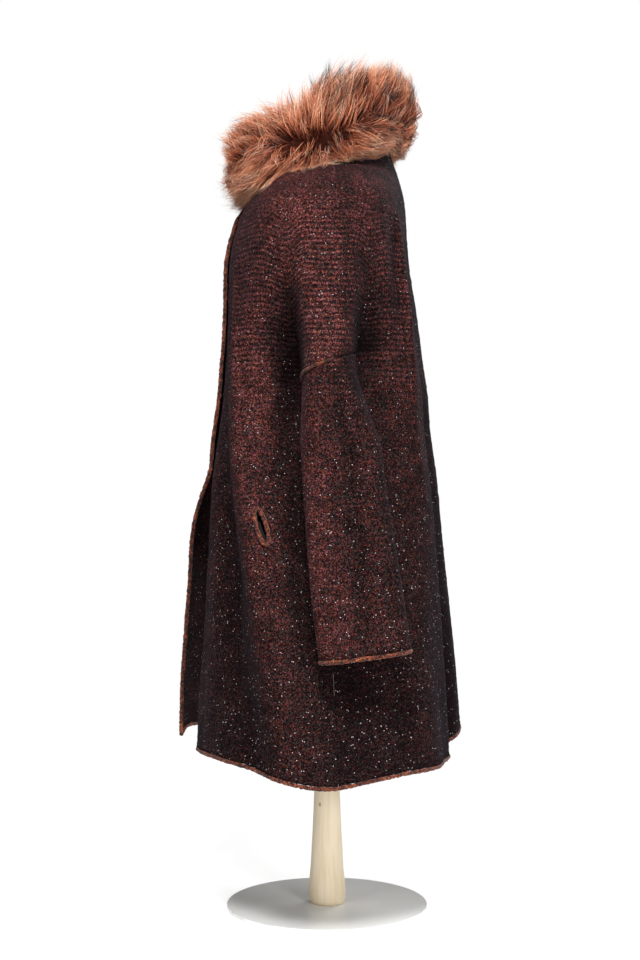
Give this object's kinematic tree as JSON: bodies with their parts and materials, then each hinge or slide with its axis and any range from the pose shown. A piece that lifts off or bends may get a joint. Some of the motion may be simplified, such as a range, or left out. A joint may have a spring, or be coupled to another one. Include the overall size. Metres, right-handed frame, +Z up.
{
  "type": "wool coat with fur collar on a limbless dress form with stand",
  "caption": "Knee-length A-line knitted wool coat with a thick fur collar, dropped shoulders, hanging wide sleeves and slanted pockets, worn by a smooth dress form on a wooden post",
  "frame": {"origin": "middle of the underside of the round base plate, on the floor", "axes": "+Z up, -Y the coat's front, +X the coat's left side"},
  "size_m": [0.62, 0.4204, 1.2543],
  "materials": {
    "wool_knit": "marled bouclé wool knit, charcoal with rust flecks and fine metallic glints",
    "fur": "long dyed apricot fur with dark roots and tips",
    "edging_yarn": "burnt orange yarn edging",
    "pocketing": "dark plain pocket cloth",
    "form_cover": "natural linen cover, smooth",
    "pale_wood": "pale turned beech, satin",
    "plate_paint": "white painted steel"
  },
  "bodies": {
    "root": {"back": "wool_knit", "front_left": "wool_knit", "front_right": "wool_knit", "sleeve_left": "wool_knit", "sleeve_right": "wool_knit", "fur_collar": "fur", "front_edging_left": "edging_yarn", "front_edging_right": "edging_yarn", "back_edging": "edging_yarn", "cuff_edging_left": "edging_yarn", "cuff_edging_right": "edging_yarn", "pocket_rim_left": "edging_yarn", "pocket_rim_right": "edging_yarn", "pocket_bag_left": "pocketing", "pocket_bag_right": "pocketing", "dress_form": "form_cover", "post": "pale_wood", "base_plate": "plate_paint"}
  },
  "joints": []
}
